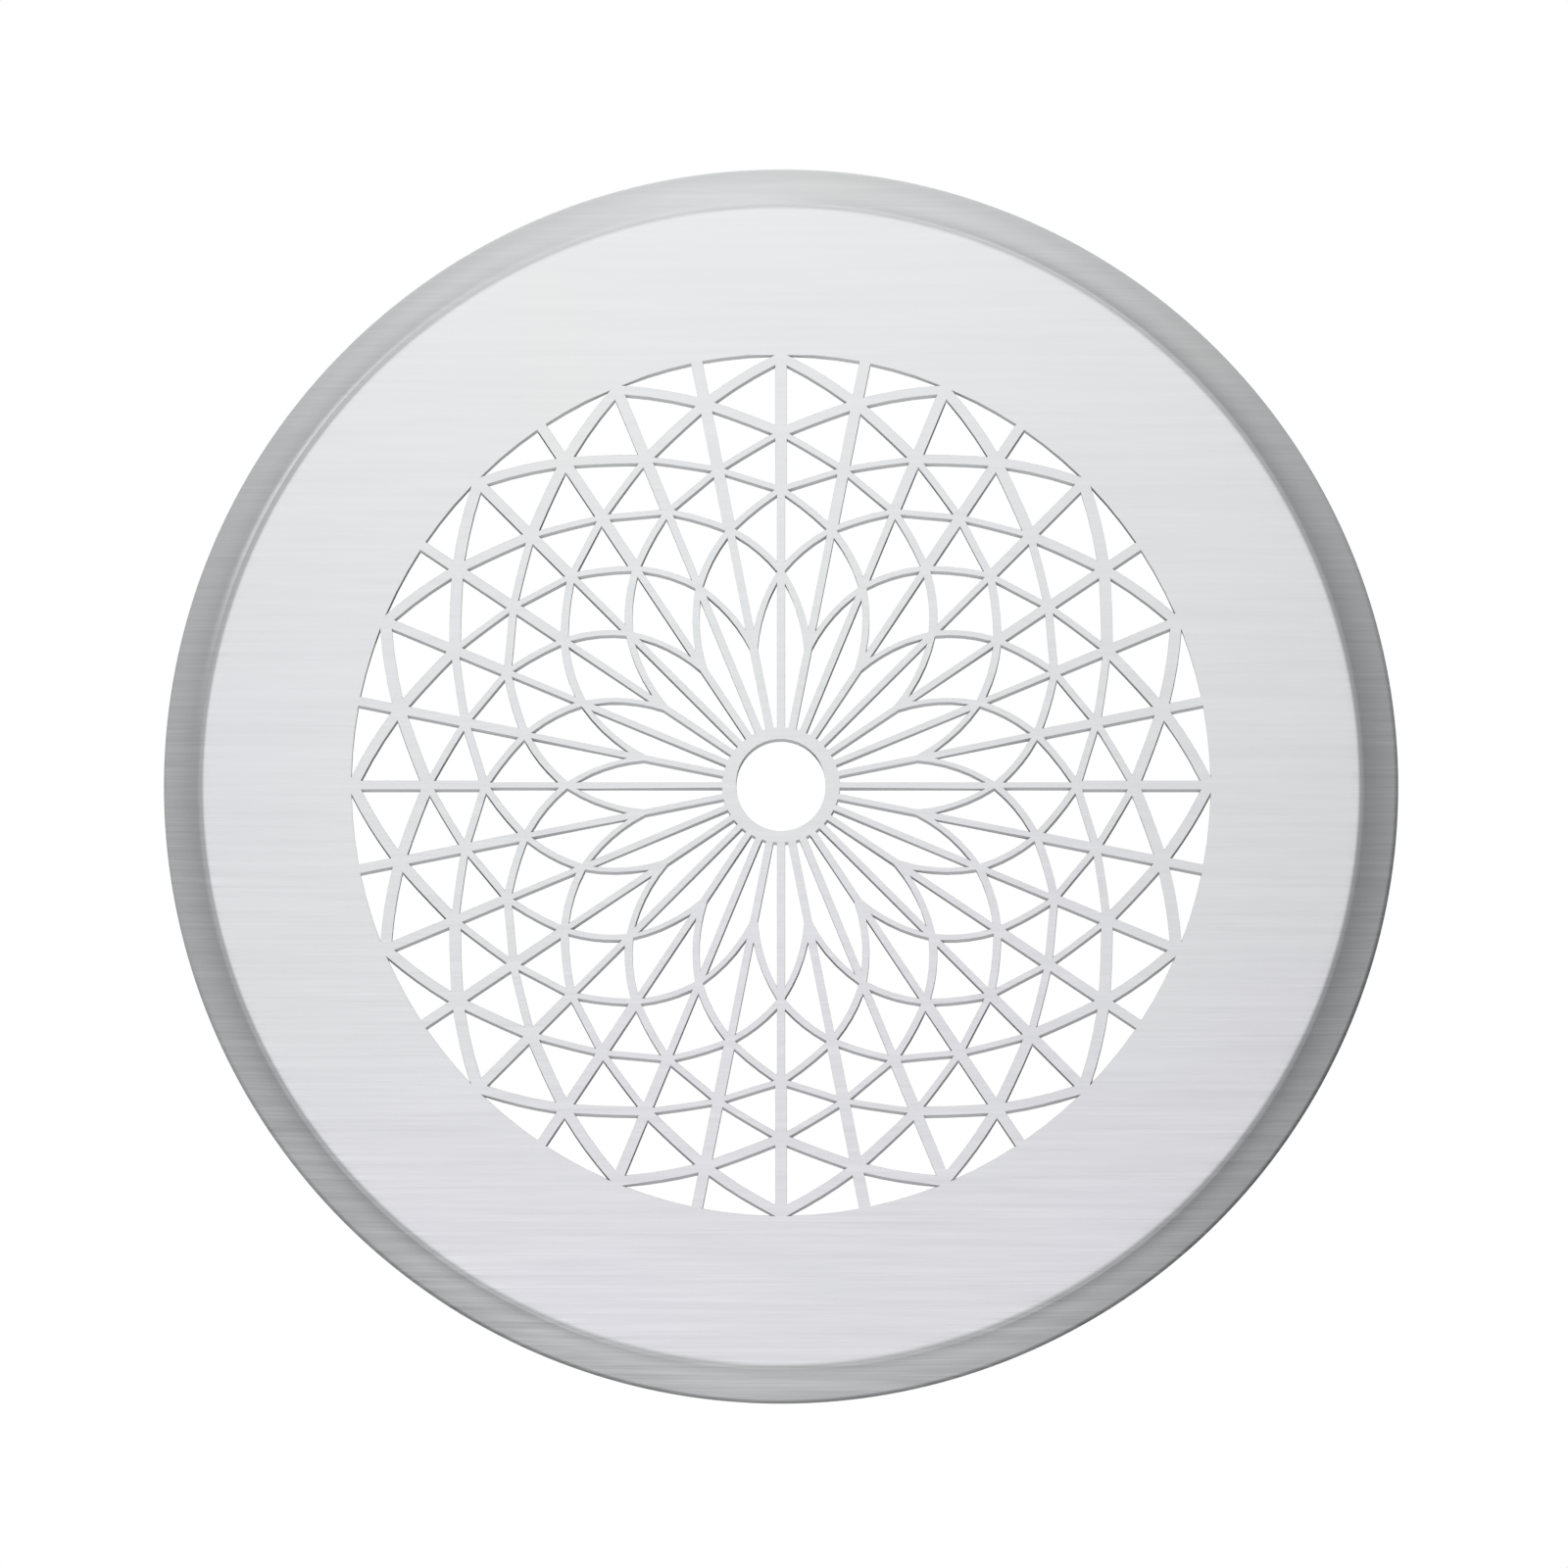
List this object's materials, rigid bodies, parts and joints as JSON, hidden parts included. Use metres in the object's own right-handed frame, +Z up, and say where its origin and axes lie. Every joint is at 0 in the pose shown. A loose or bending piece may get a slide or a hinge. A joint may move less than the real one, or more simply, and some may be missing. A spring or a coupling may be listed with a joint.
{
  "type": "ceiling air diffuser",
  "caption": "Round ceiling air diffuser: brushed steel face plate with a laser-cut rosette, on a collar that spring clips hold in a flanged duct ring.",
  "frame": {"origin": "on the duct's axis, in the plane of the ceiling, which is the top of the ceiling gasket", "axes": "+Z up along the duct's axis, out of the room; the face plate looks down, -Z; +X and +Y lie in the ceiling along two spokes of the rosette"},
  "size_m": [0.1998, 0.1998, 0.069],
  "materials": {
    "brushed_face": "stainless, fine straight brushed grain",
    "rolled_steel": "stainless sheet, plain mill finish",
    "bright_steel": "stainless, turned",
    "zinc_fastener": "bright zinc plated steel",
    "spring_steel": "stainless spring strip, satin",
    "galvanised": "galvanised sheet with a soft spangle",
    "foam": "closed-cell foam, matt",
    "seal_rubber": "moulded rubber, satin"
  },
  "bodies": {
    "ring": {"mounting_flange": "galvanised", "spigot": "galvanised", "ceiling_gasket": "foam", "duct_seal": "seal_rubber", "fixing_screws": "zinc_fastener"},
    "face": {"face_plate": "brushed_face", "rear_collar": "rolled_steel", "collar_flange": "rolled_steel", "weld_studs": "bright_steel", "stud_washers": "zinc_fastener", "stud_nuts": "zinc_fastener", "front_gasket": "foam"},
    "clip_1": {"spring_clip_1": "spring_steel"},
    "clip_2": {"spring_clip_2": "spring_steel"},
    "clip_3": {"spring_clip_3": "spring_steel"},
    "clip_4": {"spring_clip_4": "spring_steel"}
  },
  "joints": [
    {"name": "face_release", "type": "slide", "parent": "ring", "child": "face", "axis": [0, 0, -1], "range_m": [0, 0.06]},
    {"name": "clip_flex_1", "type": "hinge", "parent": "face", "child": "clip_1", "pos_m": [0.0751, 0, 0.00545], "axis": [0, -1, 0], "range_deg": [0, 1.8], "stiffness_Nm_per_rad": 0.05},
    {"name": "clip_flex_2", "type": "hinge", "parent": "face", "child": "clip_2", "pos_m": [0, 0.0751, 0.00545], "axis": [1, 0, 0], "range_deg": [0, 1.8], "stiffness_Nm_per_rad": 0.05},
    {"name": "clip_flex_3", "type": "hinge", "parent": "face", "child": "clip_3", "pos_m": [-0.0751, 0, 0.00545], "axis": [0, 1, 0], "range_deg": [0, 1.8], "stiffness_Nm_per_rad": 0.05},
    {"name": "clip_flex_4", "type": "hinge", "parent": "face", "child": "clip_4", "pos_m": [0, -0.0751, 0.00545], "axis": [-1, 0, 0], "range_deg": [0, 1.8], "stiffness_Nm_per_rad": 0.05}
  ]
}
